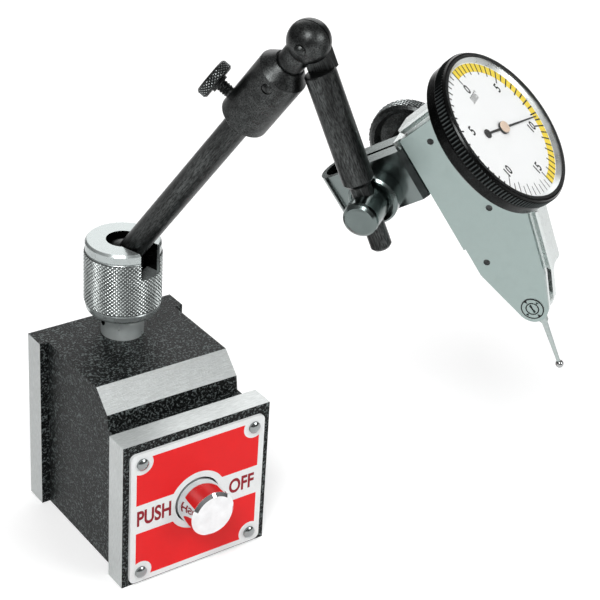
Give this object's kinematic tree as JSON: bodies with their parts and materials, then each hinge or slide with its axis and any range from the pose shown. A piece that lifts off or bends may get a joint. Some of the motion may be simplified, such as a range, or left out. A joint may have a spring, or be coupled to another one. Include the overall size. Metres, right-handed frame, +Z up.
{
  "type": "magnetic dial indicator stand",
  "caption": "Switchable magnetic base with a ball swivel, a jointed arm and a lever dial indicator held in a dovetail clamp, for checking runout and alignment on machines.",
  "frame": {"origin": "middle of the base's underside", "axes": "+X to the right along the front label face, +Y from the label face to the back plate, +Z up"},
  "size_m": [0.0922, 0.1021, 0.1472],
  "materials": {
    "wrinkle_black": "wrinkle paint",
    "ground_steel": "ground",
    "label_red": "printed",
    "bright_steel": "bright",
    "screw_black": "black oxide",
    "brass": "machined",
    "chrome": "polished",
    "magnet_grey": "cast",
    "oxide_black": "black oxide",
    "satin_body": "satin",
    "bezel_black": "black anodised",
    "dial_white": "white enamel",
    "ring_grey": "satin",
    "crystal_clear": "clear",
    "contact_steel": "polished",
    "carbide": "ground",
    "pointer_black": "matte"
  },
  "bodies": {
    "base": {"front_plate": "wrinkle_black", "back_plate": "ground_steel", "housing": "wrinkle_black", "label_plate": "label_red", "label_screws": "bright_steel", "plate_bolts": "screw_black", "core_liner": "brass", "swivel_stem": "chrome"},
    "switch": {"push_button": "chrome", "magnet": "magnet_grey", "pole_discs": "bright_steel", "core_rod": "brass", "rear_plunger": "bright_steel"},
    "nut": {"swivel_nut": "chrome"},
    "post": {"post": "oxide_black"},
    "sleeve": {"sleeve": "oxide_black", "clamp_pad": "brass", "retaining_screw": "screw_black"},
    "thumb_screw": {"thumb_screw": "oxide_black"},
    "knuckle": {"upper_knuckle": "oxide_black", "elbow_pin": "oxide_black", "elbow_washer": "bright_steel"},
    "lower_arm": {"lower_arm": "oxide_black"},
    "snug": {"snug_bolt": "chrome", "snug_collar": "chrome"},
    "clamp": {"dovetail_clamp": "chrome", "clamp_washer": "screw_black"},
    "knob": {"clamp_knob": "oxide_black"},
    "indicator": {"indicator_body": "satin_body", "side_cover": "satin_body", "cover_pins": "screw_black", "pivot_cap_near": "satin_body", "pivot_cap_far": "satin_body", "dial_case": "bezel_black", "movement_bridge": "brass"},
    "dial": {"bezel": "bezel_black", "dial_face": "dial_white", "rim_ring": "ring_grey", "crystal": "crystal_clear"},
    "lever": {"contact_lever": "brass"},
    "contact": {"contact_stem": "contact_steel", "contact_ball": "carbide"},
    "crown": {"crown_wheel": "brass"},
    "hand": {"centre_arbor": "contact_steel", "pointer": "pointer_black", "pointer_hub": "brass"}
  },
  "joints": [
    {"name": "switch_push", "type": "slide", "parent": "base", "child": "switch", "axis": [0, 1, 0], "range_m": [0, 0.0065]},
    {"name": "nut_swivel", "type": "hinge", "parent": "base", "child": "nut", "pos_m": [0.0006, 0.0139, 0.0698], "axis": [0, 0, 1], "continuous": true},
    {"name": "post_tilt", "type": "hinge", "parent": "nut", "child": "post", "pos_m": [0.0006, 0.0139, 0.0698], "axis": [0.9511, 0.309, 0], "range_deg": [-36.06, 37]},
    {"name": "sleeve_slide", "type": "slide", "parent": "post", "child": "sleeve", "axis": [0.1819, -0.5598, 0.8084], "range_m": [0, 0.005]},
    {"name": "thumb_screw_turn", "type": "hinge", "parent": "sleeve", "child": "thumb_screw", "pos_m": [0.01228, -0.02204, 0.1217], "axis": [-0.514, 0.6467, 0.5635], "range_deg": [-360, 60]},
    {"name": "elbow_swivel", "type": "hinge", "parent": "sleeve", "child": "knuckle", "pos_m": [0.0169, -0.03626, 0.14223], "axis": [0.1819, -0.5598, 0.8084], "continuous": true},
    {"name": "elbow_hinge", "type": "hinge", "parent": "knuckle", "child": "lower_arm", "pos_m": [0.0169, -0.03626, 0.14223], "axis": [0.8531, 0.4986, 0.1533], "range_deg": [-124.4, 3]},
    {"name": "snug_turn", "type": "hinge", "parent": "lower_arm", "child": "snug", "pos_m": [0.02953, -0.04591, 0.10336], "axis": [0.3007, -0.2298, -0.9256], "range_deg": [-90, 60]},
    {"name": "clamp_turn", "type": "hinge", "parent": "snug", "child": "clamp", "pos_m": [0.02953, -0.04591, 0.10336], "axis": [0.8179, 0.5613, 0.1263], "range_deg": [-20, 60]},
    {"name": "knob_turn", "type": "hinge", "parent": "clamp", "child": "knob", "pos_m": [0.02953, -0.04591, 0.10336], "axis": [0.8179, 0.5613, 0.1263], "range_deg": [-360, 60]},
    {"name": "indicator_slide", "type": "slide", "parent": "clamp", "child": "indicator", "axis": [0.3997, -0.3964, -0.8265], "range_m": [-0.006, 0.006]},
    {"name": "bezel_turn", "type": "hinge", "parent": "indicator", "child": "dial", "pos_m": [0.05066, -0.05837, 0.12001], "axis": [0.3055, -0.6098, 0.7313], "continuous": true},
    {"name": "contact_lever_pivot", "type": "hinge", "parent": "indicator", "child": "lever", "pos_m": [0.06392, -0.06901, 0.08146], "axis": [0.8179, 0.5613, 0.1263], "range_deg": [-1.4, 1.4], "stiffness_Nm_per_rad": 0.02},
    {"name": "contact_swivel", "type": "hinge", "parent": "lever", "child": "contact", "pos_m": [0.06392, -0.06901, 0.08146], "axis": [0.8179, 0.5613, 0.1263], "range_deg": [-100, 100]},
    {"name": "crown_turn", "type": "hinge", "parent": "indicator", "child": "crown", "pos_m": [0.04849, -0.05403, 0.11482], "axis": [0.8179, 0.5613, 0.1263], "range_deg": [-36.84, 36.84]},
    {"name": "pointer_turn", "type": "hinge", "parent": "indicator", "child": "hand", "pos_m": [0.05066, -0.05837, 0.12001], "axis": [0.3055, -0.6098, 0.7313], "range_deg": [-220.8, 220.8]}
  ],
  "couplings": [
    {"joint": "crown_turn", "follows": "contact_lever_pivot", "ratio": -25.457},
    {"joint": "pointer_turn", "follows": "contact_lever_pivot", "ratio": 152.74}
  ]
}
